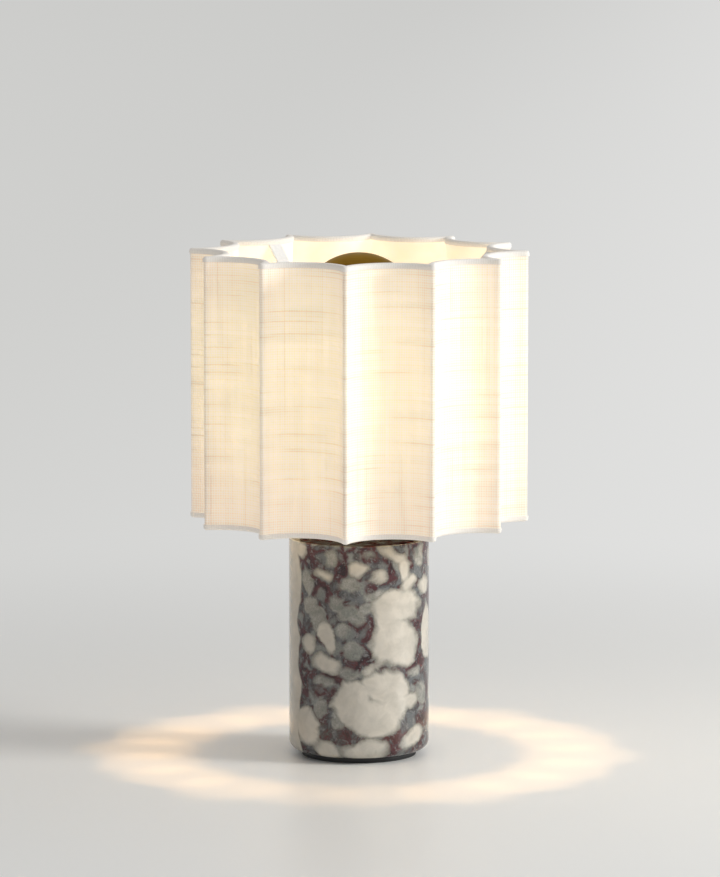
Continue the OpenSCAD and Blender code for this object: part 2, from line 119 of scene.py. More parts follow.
def table_material():
    """Satin white laminate: soft shadows, and a faint blurred mirror image of what stands on it"""
    made = bpy.data.materials.new("satin_table_top")
    tree = bare_tree(made)
    near = add(tree, "BsdfPrincipled", {
        "Base Color": linear(TABLE_TOP), "Roughness": 0.38, "Specular IOR Level": 0.3})
    place = add(tree, "TexCoord", out="Object")
    side = add(tree, "SeparateXYZ", {"Vector": place}, out="X")
    across = add(tree, "MapRange", {
        "Value": side, "From Min": -BACKDROP_HALF_WIDTH, "From Max": BACKDROP_HALF_WIDTH},
        interpolation_type="SMOOTHSTEP")
    tone = add(tree, "ValToRGB", {"Fac": across}, stops=[(0.0, BACKDROP_DIM), (1.0, BACKDROP_LIGHT)])
    reach = add(tree, "VectorMath", {0: place}, out="Value", operation="LENGTH")
    depth = add(tree, "MapRange", {
        "Value": reach, "From Min": FADE_TO, "From Max": TABLE_RADIUS / 2, "To Min": 1.0, "To Max": FAR_SHADE})
    far = add(tree, "Emission", {"Color": tone, "Strength": depth})
    fade = add(tree, "MapRange", {"Value": reach, "From Min": FADE_FROM, "From Max": FADE_TO},
               interpolation_type="SMOOTHSTEP")
    path = add(tree, "LightPath", out="Is Camera Ray")
    seen = add(tree, "Math", {0: path, 1: path.node.outputs["Is Glossy Ray"]}, operation="MAXIMUM")
    share = add(tree, "Math", {0: fade, 1: seen}, operation="MULTIPLY")
    shown = add(tree, "MixShader", {0: share, 1: near, 2: far})
    add(tree, "OutputMaterial", {"Surface": shown})
    return made


table_bm = bmesh.new()
bmesh.ops.create_circle(table_bm, cap_ends=True, radius=TABLE_RADIUS, segments=96)
table_mesh = bpy.data.meshes.new("table_top")
table_bm.to_mesh(table_mesh)
table_bm.free()
table_mesh.materials.append(table_material())
table_top = linked("table_top", table_mesh)

# Studio light: a pale room that is lighter on the right, and one soft window low on that side,
# which draws the bright edge of each scallop. The camera sees the plain backdrop instead.
ROOM_LIGHT = (0.18, 0.74)
ROOM_COLOUR = "fbfcff"
WINDOW_PLACE = (1.64, -0.26, 0.75)
WINDOW_SIZE = (0.5, 0.45)
WINDOW_POWER = 22.0
WINDOW_COLOUR = "fdfdfb"
WINDOW_AIM = Vector((0.0, 0.0, 0.16))

world = bpy.data.worlds.new("studio")
bpy.context.scene.world = world
world_tree = bare_tree(world)
way = add(world_tree, "TexCoord", out="Generated")
to_right = add(world_tree, "SeparateXYZ", {"Vector": way}, out="X")
room_level = add(world_tree, "MapRange", {
    "Value": to_right, "From Min": -1.0, "From Max": 1.0, "To Min": ROOM_LIGHT[0], "To Max": ROOM_LIGHT[1]})
room = add(world_tree, "Background", {"Color": linear(ROOM_COLOUR), "Strength": room_level})
backdrop = add(world_tree, "Background", {"Color": linear(BACKDROP), "Strength": 1.0})
path = add(world_tree, "LightPath", out="Is Camera Ray")
mirrored = add(world_tree, "Math", {
    0: path.node.outputs["Is Glossy Ray"], 1: path.node.outputs["Is Transmission Ray"]}, operation="MAXIMUM")
seen = add(world_tree, "Math", {0: path, 1: mirrored}, operation="MAXIMUM")
world_shown = add(world_tree, "MixShader", {0: seen, 1: room, 2: backdrop})
add(world_tree, "OutputWorld", {"Surface": world_shown})

window_data = bpy.data.lights.new("window_right", "AREA")
window_data.shape = "RECTANGLE"
window_data.size, window_data.size_y = WINDOW_SIZE
window_data.energy = WINDOW_POWER
window_data.color = linear(WINDOW_COLOUR)[:3]
aim(linked("window_right", window_data), WINDOW_PLACE, WINDOW_AIM)

# Foot: a black rubber pad under a black steel plate, set in from the marble's edge. Three
# countersunk screws hold the plate to brass inserts in the marble.
MM = 0.001
TURNED_STEPS = 128
MERGE_WITHIN = 0.001
SHARP_EDGE_DEGREES = 40


def new_material(name, constants):
    """A material with one Principled shader, and its node tree"""
    made = bpy.data.materials.new(name)
    tree = bare_tree(made)
    shader = add(tree, "BsdfPrincipled", constants)
    add(tree, "OutputMaterial", {"Surface": shader})
    return made, tree, shader.node


def feed(shader, values):
    """Links values to sockets of a shader or of the output"""
    for socket, value in values.items():
        shader.id_data.links.new(value, shader.inputs[socket])


def millimetres(tree):
    """Object coordinates in millimetres"""
    place = add(tree, "TexCoord", out="Object")
    return add(tree, "Mapping", {"Vector": place, "Scale": [1 / MM] * 3})


def mottled(name, colours, grain_mm, depth_mm, roughness, constants):
    """A material with one fine grain that varies its colour, its gloss and its relief"""
    made, tree, shader = new_material(name, constants)
    grain = add(tree, "TexNoise", {
        "Vector": millimetres(tree), "Scale": 1 / grain_mm, "Detail": 4.0, "Roughness": 0.6})
    shade = add(tree, "ValToRGB", {"Fac": grain}, stops=[(0.3, colours[0]), (0.7, colours[1])])
    gloss = add(tree, "MapRange", {
        "Value": grain, "From Min": 0.3, "From Max": 0.7, "To Min": roughness[0], "To Max": roughness[1]})
    relief = add(tree, "Bump", {"Height": grain, "Strength": 1.0, "Distance": depth_mm * MM})
    feed(shader, {"Base Color": shade, "Roughness": gloss, "Normal": relief})
    return made


def turned(outline, closed=True):
    """A bmesh spun about the lamp's axis from an outline of (radius, height) in millimetres"""
    bm = bmesh.new()
    points = [bm.verts.new((r * MM, 0, z * MM)) for r, z in outline]
    ends = points[1:] + points[:1] if closed else points[1:]
    edges = [bm.edges.new(pair) for pair in zip(points, ends)]
    bmesh.ops.spin(bm, geom=points + edges, cent=(0, 0, 0), axis=(0, 0, 1), angle=2 * math.pi,
                   steps=TURNED_STEPS, use_merge=True)
    bmesh.ops.remove_doubles(bm, verts=bm.verts, dist=MERGE_WITHIN * MM)
    return bm


def rounded(bm, edges, width_mm, segments):
    """Rounds edges of a bmesh"""
    bmesh.ops.bevel(bm, geom=edges, offset=width_mm * MM, segments=segments, profile=0.5,
                    affect="EDGES", material=-1)
    return bm


def ease(bm, width_mm, segments=3, sharper_than=30):
    """Rounds every edge that is sharper than an angle"""
    return rounded(bm, [e for e in bm.edges if e.is_manifold and e.calc_face_angle()
                        > math.radians(sharper_than)], width_mm, segments)


def piece(name, bm, body, material, nodes):
    """A finished object from a bmesh, riding on its body and standing for its CAD nodes"""
    bmesh.ops.recalc_face_normals(bm, faces=bm.faces)
    mesh = bpy.data.meshes.new(name)
    bm.to_mesh(mesh)
    bm.free()
    mesh.shade_smooth()
    mesh.set_sharp_from_angle(angle=math.radians(SHARP_EDGE_DEGREES))
    mesh.materials.append(material)
    made = linked(name, mesh)
    even = made.modifiers.new("even shading", "WEIGHTED_NORMAL")
    even.keep_sharp = True
    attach(made, body)
    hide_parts(*nodes)
    return made


def radius(node):
    """Radius of a round CAD node, in millimetres"""
    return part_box(node)[1][0] / MM


def foot(node):
    """Height of a CAD node's lowest point, in millimetres"""
    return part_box(node)[0][2] / MM


def top(node):
    """Height of a CAD node's highest point, in millimetres"""
    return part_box(node)[1][2] / MM


def plain_disc(node, inner):
    """Outline of a round plate with a bore, with the size of a CAD node"""
    return [(inner, foot(node)), (radius(node), foot(node)), (radius(node), top(node)), (inner, top(node))]


def finish_nodes(material, *nodes):
    """Gives CAD nodes that keep their shape their finish"""
    for node in nodes:
        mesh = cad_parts[node].data
        mesh.materials.clear()
        mesh.materials.append(material)


# Cast rubber: nearly black, matt, with a faint fine grain
foot_rubber = mottled("foot_rubber", ("101011", "1a1a1c"), 0.6, 0.02, (0.62, 0.75), {})
# Powder-coated steel: black, satin, with a fine orange peel
black_steel = mottled("black_powder_coat", ("131315", "1c1c1f"), 0.9, 0.02, (0.38, 0.5), {})

finish_nodes(foot_rubber, "foot_pad")
finish_nodes(black_steel, "base_plate")

# Marble column: one polished block of breccia, bored from below for the battery and from behind
# for the charging inlet. Its foot is rounded and its top edge is eased with a diamond pad.
MARBLE_FOOT_ROUND = 5.5
MARBLE_TOP_EASE = 0.8
BORE_EASE = 0.5
CAVITY_RADIUS = 25.5
CAVITY_DEPTH = 88.6
TUBE_HOLE_RADIUS = 5.25
BORE_GAP = 0.1
DRILL_DEPTH_SHARE = 0.6
RING_WITHIN = 0.01
MOUTH_WITHIN = 0.02
TOP_FACE_WITHIN = 0.1

# The stones in the block's face, placed one by one from the front round to the right: turn from the
# front in degrees, height, half width and half height in millimetres, and lean in degrees. The
# pale ones are nearly white, the grey ones grey-green
PALE_STONES = [
    (34, 94, 17, 11.5, 0), (45, 107, 6, 5.5, 0), (31, 72, 17.5, 15, 10), (23, 85, 7, 7, 0),
    (-6, 36, 13, 16, -10), (25, 46, 16, 12, 10), (16, 27, 16, 12.5, 0), (33, 33, 9, 10, 0),
    (6, 8, 15, 7.5, 0), (-49, 21, 11, 13, 15), (-28, 8, 10, 7, 25), (-26, 60, 11, 6.5, 8),
    (-46, 71, 7.5, 7, 10), (-27, 76, 5.5, 10, -22), (31, 124, 12, 4.8, 28), (39, 115, 4.5, 7, 0),
    (-1, 117, 6, 6.2, 0), (15, 113, 5, 4.5, 0), (50, 14, 12, 7.5, -25), (47, 36, 6.5, 6, 0),
    (68, 104, 9, 7, 0), (73, 73, 10, 18, 0), (-30, 113, 6.5, 4, 15), (-55, 124, 7, 7, 0),
    (12, 58, 8, 4.2, -20), (100, 40, 16, 13, 20), (104, 92, 11, 8, 0), (128, 82, 17, 13, -10),
    (118, 118, 11, 7, 10), (146, 26, 13, 11, 0), (158, 58, 12, 8, 15), (170, 92, 15, 12, 15),
    (196, 110, 13, 9, -20), (180, 8, 14, 7, 10), (205, 44, 17, 13, 5), (232, 82, 14, 12, 10),
    (244, 24, 13, 10, -15), (222, 118, 10, 6, 15), (260, 60, 9, 12, 0), (216, 8, 12, 7, -10),
]
GREY_STONES = [
    (-4, 69, 6, 7.5, -20), (-6, 89, 11, 6, 15), (-6, 107, 8, 5.5, 0), (-46, 108, 5, 9, -20),
    (-24, 122, 6, 6, -10), (-44, 95, 6, 7.5, -15), (-30, 49, 7, 4.5, 0), (-34, 34, 6, 7, -20),
    (-8, 54, 8, 5, 0), (-19, 96, 6, 6, -20), (12, 101, 8, 6, 0), (8, 93, 6, 5, 15),
    (-36, 86, 5, 10, -25), (-18, 27, 5, 8, -15), (-16, 42, 5, 6, 0), (58, 122, 7, 8, 10),
    (52, 54, 7, 5, 20), (62, 40, 7, 9, 0), (-14, 80, 5, 6, -20), (4, 125, 8, 4, 0),
    (86, 118, 9, 8, 0), (88, 16, 9, 9, 10), (136, 104, 10, 8, 0), (124, 56, 10, 8, 10),
    (168, 36, 9, 8, 0), (186, 70, 10, 8, 20), (210, 92, 9, 8, 0), (226, 58, 10, 7, 15),
    (250, 100, 9, 9, 0), (262, 36, 8, 10, 0), (150, 122, 10, 6, 0), (196, 22, 9, 7, 0),
    (174, 124, 9, 5, 0), (244, 124, 8, 5, 0),
]
# How far neighbouring stones run together, in millimetres
PALE_MERGING = 3.0
GREY_MERGING = 0.8
# The vein fills the block left of one plane and in front of another, in millimetres
VEIN_LEFT_OF = -97 / 3
VEIN_FRONT_OF = 4.0
VEIN_SHARPNESS = 3.0


def breccia(name, gloss_range, brightness, constants):
    """Breccia marble: milky calcite stones whose edges fade, because light enters them, and
    smaller grey-green ones, in a dark ground of burgundy and grey, with one cream vein"""
    made, tree, shader = new_material(name, constants)
    point = millimetres(tree)

    def wander(vector, size_mm, reach_mm, detail):
        """The point pushed about by a noise of that size, so that no outline stays regular"""
        push = add(tree, "TexNoise", {"Vector": vector, "Scale": 1 / size_mm, "Detail": detail},
                   out="Color")
        centred = add(tree, "VectorMath", {0: push, 1: (0.5, 0.5, 0.5)}, operation="SUBTRACT")
        return add(tree, "VectorMath", {0: centred, 1: [2 * reach_mm] * 3, 2: vector},
                   operation="MULTIPLY_ADD")

    def depth_in(vector, stones, merging):
        """How deep inside the nearest stone a point lies, in millimetres. A stone's middle lies a
        third of its half height under the surface, and its width runs along its own axis"""
        deepest = None
        for turn, height, half_width, half_height, lean in stones:
            angle, tilt = CAMERA_TURN + math.radians(turn), math.radians(lean)
            reach = radius("marble_base") - half_height / 3
            axis = Vector((math.cos(angle) * math.cos(tilt), math.sin(angle) * math.cos(tilt), -math.sin(tilt)))
            from_middle = add(tree, "VectorMath", {
                0: vector, 1: (reach * math.sin(angle), -reach * math.cos(angle), height)},
                operation="SUBTRACT")
            along = add(tree, "VectorMath", {0: from_middle, 1: axis}, out="Value", operation="DOT_PRODUCT")
            squeeze = add(tree, "VectorMath", {
                0: axis * (1 - half_height / half_width), "Scale": along}, operation="SCALE")
            out = add(tree, "VectorMath", {0: from_middle, 1: squeeze}, out="Value", operation="DISTANCE")
            depth = add(tree, "Math", {0: half_height, 1: out}, operation="SUBTRACT")
            deepest = depth if deepest is None else add(
                tree, "Math", {0: deepest, 1: depth, 2: merging}, operation="SMOOTH_MAX")
        return deepest

    warped = wander(wander(point, 15.0, 4.8, 1.0), 4.6, 1.9, 3.0)
    pale_depth = depth_in(warped, PALE_STONES, PALE_MERGING)
    grey_depth = depth_in(warped, GREY_STONES, GREY_MERGING)
    beside = add(tree, "SeparateXYZ", {"Vector": wander(point, 22.0, 4.5, 2.0)}, out="X")
    past_side = add(tree, "Math", {0: beside, 1: -VEIN_SHARPNESS, 2: VEIN_SHARPNESS * VEIN_LEFT_OF},
                    operation="MULTIPLY_ADD")
    past_rear = add(tree, "Math", {
        0: beside.node.outputs["Y"], 1: -VEIN_SHARPNESS, 2: VEIN_SHARPNESS * VEIN_FRONT_OF},
        operation="MULTIPLY_ADD")
    vein_depth = add(tree, "Math", {0: past_side, 1: past_rear}, operation="MINIMUM")
    pale_depth = add(tree, "Math", {0: pale_depth, 1: vein_depth}, operation="MAXIMUM")

    cloud = add(tree, "TexNoise", {
        "Vector": warped, "Scale": 1 / 9.0, "Detail": 5.0, "Roughness": 0.6})
    streak = add(tree, "TexNoise", {
        "Vector": warped, "Scale": 1 / 3.2, "Detail": 4.0, "Roughness": 0.62})
    speck = add(tree, "TexNoise", {
        "Vector": point, "Scale": 1 / 1.1, "Detail": 4.0, "Roughness": 0.7})
    crumb_edge = add(tree, "TexVoronoi", {"Vector": warped, "Scale": 1 / 8.0}, feature="DISTANCE_TO_EDGE")
    crumb_own = add(tree, "TexVoronoi", {"Vector": warped, "Scale": 1 / 8.0}, out="Color")
    crumb_own = add(tree, "SeparateColor", {"Color": crumb_own}, out="Red")
    crumb_body = add(tree, "MapRange", {"Value": crumb_edge, "From Min": 0.05, "From Max": 0.3},
                     interpolation_type="SMOOTHSTEP")

    # From the ground up: what a layer follows, where it starts and is full, how much it covers,
    # and its tones along a pattern
    stone = add(tree, "ValToRGB", {"Fac": cloud}, stops=[
        (0.36, "2f181b"), (0.46, "54292d"), (0.52, "4b4546"), (0.62, "696c6d")])
    for follows, starts, full, cover, pattern, tones in (
        # milky streaks in the ground
        (streak, 0.52, 0.66, 0.7, streak, [(0.4, "5c5556"), (0.56, "727474"), (0.68, "8b8b89")]),
        # crumbs of broken stone
        (crumb_own, 0.45, 0.6, crumb_body, crumb_own, [(0.0, "5a4d50"), (0.5, "70726f"), (1.0, "8d8f8b")]),
        # grey stones
        (grey_depth, -0.3, 2.2, 0.9, cloud, [(0.35, "84867f"), (0.65, "aeaca3")]),
        # the grey rim of the pale stones, and the stones themselves
        (pale_depth, -0.5, 0.8, 1.0, cloud, [(0.0, "8d8b82"), (1.0, "8d8b82")]),
        (pale_depth, 0.0, 2.9, 1.0, cloud, [(0.3, "bdb8ad"), (0.7, "d6d0c4")]),
    ):
        share = add(tree, "MapRange", {
            "Value": follows, "From Min": starts, "From Max": full, "To Max": cover},
            interpolation_type="SMOOTHSTEP")
        tone = add(tree, "ValToRGB", {"Fac": pattern}, stops=tones)
        stone = add(tree, "Mix", {0: share, 6: stone, 7: tone}, out=2, data_type="RGBA")

    dusted = add(tree, "MapRange", {
        "Value": speck, "From Min": 0.3, "From Max": 0.7,
        "To Min": 0.74 * brightness, "To Max": 1.16 * brightness})
    level = add(tree, "MapRange", {
        "Value": pale_depth, "From Max": 2.5, "To Min": dusted, "To Max": brightness},
        interpolation_type="SMOOTHSTEP")
    finished = add(tree, "Mix", {0: 1.0, 6: stone, 7: level}, out=2, data_type="RGBA", blend_type="MULTIPLY")
    gloss = add(tree, "MapRange", {
        "Value": speck, "From Min": 0.3, "From Max": 0.7, "To Min": gloss_range[0], "To Max": gloss_range[1]})
    feed(shader, {"Base Color": finished, "Roughness": gloss})
    return made


def round_ring(bm, r_mm, z_mm, width_mm, segments):
    """Rounds one ring of a turned piece"""
    rounded(bm, [e for e in bm.edges if all(
        abs(v.co.z - z_mm * MM) < RING_WITHIN * MM and abs(v.co.xy.length - r_mm * MM) < RING_WITHIN * MM
        for v in e.verts)], width_mm, segments)


def bored(block, cutter):
    """Cuts one closed bmesh out of another"""
    solids = []
    for name, shape in (("block", block), ("cutter", cutter)):
        mesh = bpy.data.meshes.new(name)
        shape.to_mesh(mesh)
        shape.free()
        solids.append(linked(name, mesh))
    solids[0].modifiers.new("bore", "BOOLEAN").object = solids[1]
    whole = bmesh.new()
    whole.from_object(solids[0], bpy.context.evaluated_depsgraph_get())
    for solid in solids:
        bpy.data.objects.remove(solid)
    return whole


marble_r, marble_low, marble_high = radius("marble_base"), foot("marble_base"), top("marble_base")
inlet_low, inlet_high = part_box("port_bezel")
inlet_r = (inlet_high[0] - inlet_low[0]) / 2 / MM
inlet_z = (inlet_high[2] + inlet_low[2]) / 2 / MM
inlet_face, inlet_back = inlet_high[1] / MM, inlet_low[1] / MM

column = turned([
    (TUBE_HOLE_RADIUS, marble_low + CAVITY_DEPTH), (CAVITY_RADIUS, marble_low + CAVITY_DEPTH),
    (CAVITY_RADIUS, marble_low), (marble_r, marble_low), (marble_r, inlet_z + 2 * inlet_r),
    (marble_r, marble_high), (TUBE_HOLE_RADIUS, marble_high)])
round_ring(column, marble_r, marble_low, MARBLE_FOOT_ROUND, 12)
round_ring(column, marble_r, marble_high, MARBLE_TOP_EASE, 4)
round_ring(column, CAVITY_RADIUS, marble_low, BORE_EASE, 2)

drill = bmesh.new()
bmesh.ops.create_cone(
    drill, cap_ends=True, segments=96, radius1=(inlet_r + BORE_GAP) * MM, radius2=(inlet_r + BORE_GAP) * MM,
    depth=marble_r * MM, matrix=Matrix.Translation(
        (0, (0.5 * marble_r + DRILL_DEPTH_SHARE * CAVITY_RADIUS) * MM, inlet_z * MM))
    @ Matrix.Rotation(math.pi / 2, 4, "X"))
column = bored(column, drill)
mouth = [e for e in column.edges if e.is_manifold and e.calc_face_angle() > math.radians(SHARP_EDGE_DEGREES)
         and all(v.co.y > 0.9 * inlet_face * MM for v in e.verts)
         and all(abs(Vector((v.co.x, v.co.z - inlet_z * MM)).length - (inlet_r + BORE_GAP) * MM)
                 < MOUTH_WITHIN * MM for v in e.verts)]
rounded(column, mouth, BORE_EASE, 2)
# The top face takes the second material, whose darker colour is painted shade
for side in column.faces:
    side.material_index = int(
        side.normal.z > 0.95 and side.calc_center_median().z > (marble_high - TOP_FACE_WITHIN) * MM)

# Polished: a clear mirror image of the window and of the floor
polished_marble = breccia("polished_breccia_marble", (0.05, 0.09), 0.92, {})
# Honed under the shade: no mirror image of the lit lining, and drawn deeper than the side with painted shade,
# as in the photo
honed_top_painted_shade = breccia("honed_breccia_marble_painted_shade", (0.35, 0.5), 0.45, {"Specular IOR Level": 0.0})
marble_column = piece("marble_column", column, "base", polished_marble, ["marble_base"])
marble_column.data.materials.append(honed_top_painted_shade)

# Charging inlet: a round plug moulded from black ABS and glued in the marble's rear, a little
# behind its surface, with a slot for the charging receptacle.
INLET_SLOT = (9.3, 3.6)
INLET_SLOT_EASE = 0.5
INLET_SLOT_SHARP = 60
INLET_STEPS = 64
INLET_START_SHARE = 0.4
FINE_RELIEF = 0.01

# Moulded ABS: black, satin, with a fine spark-eroded grain
black_plastic = mottled("moulded_black_abs", ("161618", "202023"), 0.5, FINE_RELIEF, (0.42, 0.5), {})

plug = bmesh.new()
bmesh.ops.create_circle(plug, segments=INLET_STEPS, radius=inlet_r * MM)
slot = bmesh.ops.create_circle(plug, segments=INLET_STEPS, radius=INLET_START_SHARE * inlet_r * MM)["verts"]
end_r = INLET_SLOT[1] / 2
straight = INLET_SLOT[0] / 2 - end_r
for vert in slot:
    angle = math.atan2(vert.co.y, vert.co.x)
    shift = straight if math.cos(angle) > 0 else -straight
    vert.co = Vector((end_r * math.cos(angle) + shift, end_r * math.sin(angle), 0)) * MM
face = bmesh.ops.bridge_loops(plug, edges=plug.edges[:])["faces"]
back = bmesh.ops.extrude_face_region(plug, geom=face)["geom"]
bmesh.ops.translate(plug, vec=(0, 0, (inlet_back - inlet_face) * MM),
                    verts=[v for v in back if isinstance(v, bmesh.types.BMVert)])
bmesh.ops.rotate(plug, cent=(0, 0, 0), matrix=Matrix.Rotation(-math.pi / 2, 3, "X"), verts=plug.verts)
bmesh.ops.translate(plug, vec=(0, inlet_face * MM, inlet_z * MM), verts=plug.verts)
bmesh.ops.recalc_face_normals(plug, faces=plug.faces)
ease(plug, INLET_SLOT_EASE, 3, INLET_SLOT_SHARP)
piece("inlet_plug", plug, "base", black_plastic, ["port_bezel"])

# Battery, boards and fixings: two cells in a moulded holder under a screwed lid, with the
# charging board in a pocket behind them, closed in by the foot plate. The threaded steel tube
# and its nuts clamp the lamp together. These keep their CAD shapes.
for name, colours, grain_mm, roughness, constants, nodes in (
    # Shrunk-on film: blue, glossy and tight, with a clear coat's highlight
    ("shrunk_cell_film", ("2f6ea8", "3a7db8"), 3.0, (0.2, 0.3), {"Coat Weight": 0.3}, ["battery_cells"]),
    # Green solder mask: a thin even lacquer with a slight gloss
    ("green_solder_mask", ("154d28", "1f6b3a"), 1.5, (0.3, 0.42), {}, ["charge_board", "port_board"]),
    # Silicone insulation: red, soft, with a dull shine
    ("red_silicone_wire", ("9c1f19", "b3261e"), 1.0, (0.4, 0.5), {}, ["charge_lead"]),
    # Zinc plate: cool grey metal, slightly uneven in its shine
    ("zinc_plated_steel", ("a9abae", "c6c8cb"), 1.2, (0.25, 0.38), {"Metallic": 1.0},
     ["lid_screws", "usb_socket", "stem_tube", "stem_washer", "stem_nut", "lamp_nut"]),
    # Black oxide: steel that is nearly black and a little oily
    ("black_oxide_steel", ("2c2c2f", "3d3d41"), 1.0, (0.35, 0.45), {"Metallic": 1.0}, ["plate_screws"]),
    # Machined brass: yellow metal, bare and bright
    ("machined_brass", ("b98f42", "d0a656"), 0.8, (0.25, 0.35), {"Metallic": 1.0},
     ["screw_inserts", "touch_terminal"]),
    # White solder mask: reflects the LEDs' light, with a slight gloss
    ("white_solder_mask", ("dedfdc", "ecece8"), 1.5, (0.3, 0.4), {}, ["led_board"]),
    # PVC insulation: off-white, soft, with a dull shine
    ("white_pvc_lead", ("dcd8cd", "e8e4da"), 1.5, (0.4, 0.5), {}, ["lamp_lead"]),
):
    finish_nodes(mottled(name, colours, grain_mm, FINE_RELIEF, roughness, constants), *nodes)
finish_nodes(black_plastic, "battery_holder", "battery_lid")

# Collar, sleeve and pan: turned from brass bar and tube, satin finished on the lathe and
# clamped in one stack by the threaded tube inside them.
COLLAR_FLANGE = 3.0
COLLAR_NECK_RADIUS = 12.0
COLLAR_COVE = 1.5
PAN_WALL = 1.5
BRASS_EASE = 0.35
SLEEVE_EASE = 0.2


def turned_brass(name, dark, light, line_mm, roughness):
    """Turned brass: warm yellow metal with fine lathe lines round the axis, which draw each
    highlight out across them"""
    made, tree, shader = new_material(name, {
        "Metallic": 1.0, "Anisotropic": 0.55, "Specular Tint": linear("f3e4c4")})
    point = millimetres(tree)
    height = add(tree, "SeparateXYZ", {"Vector": point}, out="Z")
    flat = add(tree, "CombineXYZ", {"X": height.node.outputs["X"], "Y": height.node.outputs["Y"]})
    reach = add(tree, "VectorMath", {0: flat}, out="Value", operation="LENGTH")
    round_axis = add(tree, "CombineXYZ", {"X": reach, "Y": height})
    lines = add(tree, "TexNoise", {
        "Vector": round_axis, "Scale": 1 / line_mm, "Detail": 3.0, "Roughness": 0.7})
    patina = add(tree, "TexNoise", {"Vector": point, "Scale": 1 / 14.0, "Detail": 4.0})
    blend = add(tree, "Math", {0: lines, 1: 0.55}, operation="MULTIPLY")
    tone = add(tree, "Math", {0: patina, 1: 0.45, 2: blend}, operation="MULTIPLY_ADD")
    shade = add(tree, "ValToRGB", {"Fac": tone}, stops=[(0.35, dark), (0.65, light)])
    gloss = add(tree, "MapRange", {
        "Value": lines, "From Min": 0.3, "From Max": 0.7, "To Min": roughness[0], "To Max": roughness[1]})
    relief = add(tree, "Bump", {"Height": lines, "Strength": 0.6, "Distance": 0.03 * MM})
    grain = add(tree, "Tangent", direction_type="RADIAL", axis="Z")
    feed(shader, {"Base Color": shade, "Roughness": gloss, "Normal": relief, "Tangent": grain})
    return made


# Satin brass: warm and bright, with soft long highlights
satin_brass = turned_brass("satin_turned_brass", "b08238", "cfa254", 0.5, (0.24, 0.36))

collar_low, collar_high, collar_r = foot("collar"), top("collar"), radius("collar")
flange_top = collar_low + COLLAR_FLANGE
piece("brass_collar", ease(turned([
    (TUBE_HOLE_RADIUS, collar_low), (collar_r, collar_low), (collar_r, flange_top),
    (COLLAR_NECK_RADIUS + COLLAR_COVE, flange_top), (COLLAR_NECK_RADIUS, flange_top + COLLAR_COVE),
    (COLLAR_NECK_RADIUS, collar_high), (TUBE_HOLE_RADIUS, collar_high)]), BRASS_EASE),
    "base", satin_brass, ["collar"])
piece("brass_sleeve", ease(turned(plain_disc("stem_sleeve", TUBE_HOLE_RADIUS)), SLEEVE_EASE),
      "base", satin_brass, ["stem_sleeve"])

pan_low, pan_high, pan_r = foot("lamp_cup"), top("lamp_cup"), radius("lamp_cup")
piece("brass_pan", ease(turned([
    (TUBE_HOLE_RADIUS, pan_low), (pan_r - PAN_WALL, pan_low), (pan_r, pan_low + PAN_WALL),
    (pan_r, pan_high),
    (pan_r - PAN_WALL, pan_high), (pan_r - PAN_WALL, pan_low + PAN_WALL),
    (TUBE_HOLE_RADIUS, pan_low + PAN_WALL)]), BRASS_EASE),
    "base", satin_brass, ["lamp_cup"])

# Light: yellow LED packages on a white board in the pan, under a moulded opal acrylic drum
# that spreads their light. The drum glows evenly, warm white.
LAMP_COLOUR = "ffefd6"
DRUM_GLOW = 10.5
DRUM_WALL = 2.0
DRUM_ROUND = 1.5
SPILL_LAMPS = 18
SPILL_COLOUR = "ffcb89"
SPILL_POWER = 0.85
SPILL_FRONT_DIM = 0.55
SPILL_CONE_DEGREES = 20
SPILL_FLOOR_RADIUS = 128.0
SPILL_LAMP_RADIUS = 2.5
SPILL_OFF_DRUM = 5.0
SPILL_UP_DRUM = 12.5

drum_low, drum_high, drum_r = foot("diffuser"), top("diffuser"), radius("diffuser")


def opal_acrylic():
    """Moulded opal acrylic, lit from inside: milky white, satin, and a little brighter at
    mid-height than at its ends"""
    made, tree, shader = new_material("lit_opal_acrylic", {
        "Base Color": linear("f6efe2"), "Roughness": 0.35, "Emission Color": linear(LAMP_COLOUR)})
    height = add(tree, "SeparateXYZ", {"Vector": millimetres(tree)}, out="Z")
    rise = add(tree, "MapRange", {"Value": height, "From Min": drum_low, "From Max": drum_high})
    glow = add(tree, "ValToRGB", {"Fac": rise}, stops=[
        (0.0, "e0e0e0"), (0.5, "ffffff"), (1.0, "e6e6e6")])
    strength = add(tree, "Math", {0: glow, 1: DRUM_GLOW}, operation="MULTIPLY")
    feed(shader, {"Emission Strength": strength})
    return made


drum = turned([
    (drum_r - DRUM_WALL, drum_low), (drum_r, drum_low), (drum_r, drum_high), (TUBE_HOLE_RADIUS, drum_high),
    (TUBE_HOLE_RADIUS, drum_high - DRUM_WALL), (drum_r - DRUM_WALL, drum_high - DRUM_WALL)])
round_ring(drum, drum_r, drum_high, DRUM_ROUND, 5)
piece("opal_drum", drum, "base", opal_acrylic(), ["diffuser"])

# The light that leaves the drum past the pan's rim and falls on the table in a warm ring, which
# the photo shows fainter in front of the column
for k in range(SPILL_LAMPS):
    turn = Matrix.Rotation(2 * math.pi * k / SPILL_LAMPS, 3, "Z")
    spill_data = bpy.data.lights.new("drum_spill", "SPOT")
    forwards = max(0.0, -(turn @ Vector((1.0, 0.0, 0.0))).y)
    spill_data.energy = SPILL_POWER * (1 - SPILL_FRONT_DIM * forwards ** 8)
    spill_data.color = linear(SPILL_COLOUR)[:3]
    spill_data.spot_size = math.radians(SPILL_CONE_DEGREES)
    spill_data.spot_blend = 1.0
    spill_data.shadow_soft_size = SPILL_LAMP_RADIUS * MM
    aim(linked("drum_spill", spill_data),
        turn @ Vector((drum_r + SPILL_OFF_DRUM, 0.0, drum_low + SPILL_UP_DRUM)) * MM,
        turn @ Vector((SPILL_FLOOR_RADIUS, 0.0, 0.0)) * MM)

